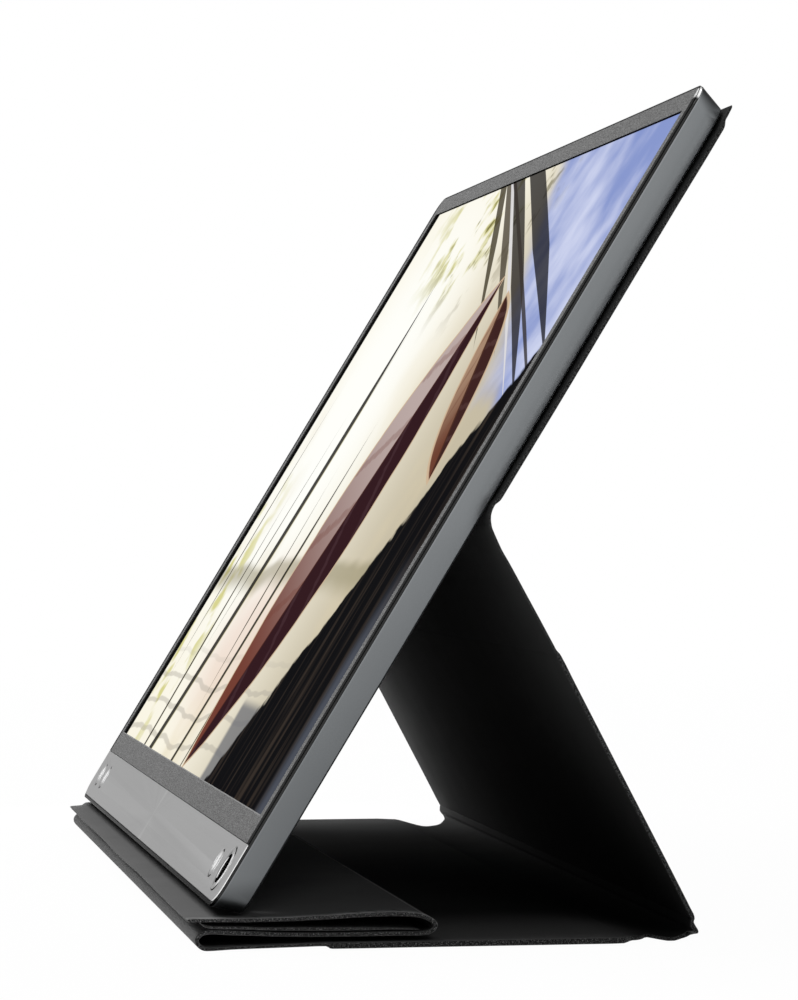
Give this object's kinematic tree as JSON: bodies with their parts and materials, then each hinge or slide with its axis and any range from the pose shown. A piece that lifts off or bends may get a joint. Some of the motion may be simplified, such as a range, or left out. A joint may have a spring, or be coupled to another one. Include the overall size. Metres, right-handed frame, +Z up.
{
  "type": "portable monitor with folding cover",
  "caption": "Slim portable monitor leaning on its folding leather cover, with a leg, a flat base and doubled front flaps.",
  "frame": {"origin": "on the floor, under the middle of the object's whole width and depth", "axes": "+X along the screen's width, the screen faces -Y and up, +Z up"},
  "size_m": [0.36, 0.1304, 0.2044],
  "materials": {
    "casing_metal": "satin blasted metal",
    "gloss_frame": "polished moulding",
    "bezel_face": "fine sparkling matt sheet",
    "chin_metal": "spun metal with fine circular lines",
    "display": "flat glass with a bright picture behind it",
    "film": "translucent film",
    "guide_plastic": "clear moulded sheet",
    "lamp_strip": "lamp strip",
    "sheet_steel": "bare pressed sheet",
    "circuit_board": "green solder mask",
    "flex_film": "amber flexible film",
    "black_parts": "moulded black",
    "thermal_gel": "soft pad",
    "plated_shell": "bright plating",
    "white_parts": "moulded white",
    "button_metal": "spun metal cap",
    "spring_steel": "pressed spring steel",
    "screw_steel": "machined steel",
    "magnet": "nickel plate",
    "adhesive_foam": "black foam tape",
    "cover_leather": "fine grained black leather",
    "cover_lining": "short napped microfibre",
    "cover_board": "pressed fibre board"
  },
  "bodies": {
    "monitor": {"rear_casing": "casing_metal", "front_frame": "gloss_frame", "bezel_sheet": "bezel_face", "chin_plate": "chin_metal", "display_glass": "display", "optical_films": "film", "light_guide": "guide_plastic", "reflector_sheet": "film", "light_bar": "lamp_strip", "panel_tray": "sheet_steel", "panel_board": "circuit_board", "panel_flexes": "flex_film", "main_board": "circuit_board", "scaler_chip": "black_parts", "shield_can": "sheet_steel", "thermal_pad": "thermal_gel", "power_coils": "black_parts", "usb_c_socket": "plated_shell", "cable_connectors": "white_parts", "left_button_board": "circuit_board", "power_button_board": "circuit_board", "menu_dome": "spring_steel", "select_dome": "spring_steel", "power_dome": "spring_steel", "pen_hole_sleeve": "plated_shell", "panel_cable": "flex_film", "left_button_cable": "white_parts", "power_button_cable": "white_parts", "board_screws": "screw_steel", "casing_magnets": "magnet", "attachment_pad": "adhesive_foam", "back_board": "cover_board", "back_skin": "cover_leather", "back_lining": "cover_lining", "upper_fold": "cover_leather"},
    "leg": {"leg_board": "cover_board", "leg_stiffener": "cover_board", "leg_skin": "cover_leather", "leg_lining": "cover_lining"},
    "spine": {"spine_strip": "cover_leather"},
    "base": {"base_board": "cover_board", "base_stiffener": "cover_board", "base_skin": "cover_leather", "base_lining": "cover_lining", "front_loop": "cover_leather"},
    "middle_flap": {"middle_board": "cover_board", "middle_stiffener": "cover_board", "middle_skin": "cover_leather", "middle_lining": "cover_lining", "rear_loop": "cover_lining", "flap_magnets": "magnet"},
    "front_flap": {"front_board": "cover_board", "front_skin": "cover_leather", "front_lining": "cover_lining"},
    "menu_key": {"menu_button": "button_metal"},
    "select_key": {"select_button": "button_metal"},
    "power_key": {"power_button": "button_metal"}
  },
  "joints": [
    {"name": "leg_fold", "type": "hinge", "parent": "monitor", "child": "leg", "pos_m": [0, 0.00666, 0.10084], "axis": [1, 0, 0], "range_deg": [-57.5, 0]},
    {"name": "heel_fold", "type": "hinge", "parent": "leg", "child": "spine", "pos_m": [0, 0.05653, 0.00228], "axis": [1, 0, 0], "range_deg": [0, 126]},
    {"name": "toe_fold", "type": "hinge", "parent": "spine", "child": "base", "pos_m": [0, 0.04196, 0.0013], "axis": [1, 0, 0], "range_deg": [0, 14]},
    {"name": "front_fold", "type": "hinge", "parent": "base", "child": "middle_flap", "pos_m": [0, -0.06074, 0.0026], "axis": [1, 0, 0], "range_deg": [0, 180], "deforming": ["front_loop"]},
    {"name": "rear_fold", "type": "hinge", "parent": "middle_flap", "child": "front_flap", "pos_m": [0, -0.00814, 0.00565], "axis": [1, 0, 0], "range_deg": [-180, 0], "deforming": ["rear_loop"]},
    {"name": "menu_press", "type": "slide", "parent": "monitor", "child": "menu_key", "axis": [0, 0.8545, -0.5195], "range_m": [0, 0.00035], "stiffness_N_per_m": 800, "springref_m": -0.0005, "deforming": ["menu_dome"]},
    {"name": "select_press", "type": "slide", "parent": "monitor", "child": "select_key", "axis": [0, 0.8545, -0.5195], "range_m": [0, 0.00035], "stiffness_N_per_m": 800, "springref_m": -0.0005, "deforming": ["select_dome"]},
    {"name": "power_press", "type": "slide", "parent": "monitor", "child": "power_key", "axis": [0, 0.8545, -0.5195], "range_m": [0, 0.00035], "stiffness_N_per_m": 800, "springref_m": -0.0005, "deforming": ["power_dome"]}
  ],
  "couplings": [
    {"joint": "heel_fold", "follows": "leg_fold", "ratio": -2.1913},
    {"joint": "toe_fold", "follows": "leg_fold", "ratio": -0.24347},
    {"joint": "front_fold", "follows": "leg_fold", "ratio": -3.1304},
    {"joint": "rear_fold", "follows": "leg_fold", "ratio": 3.1304}
  ]
}
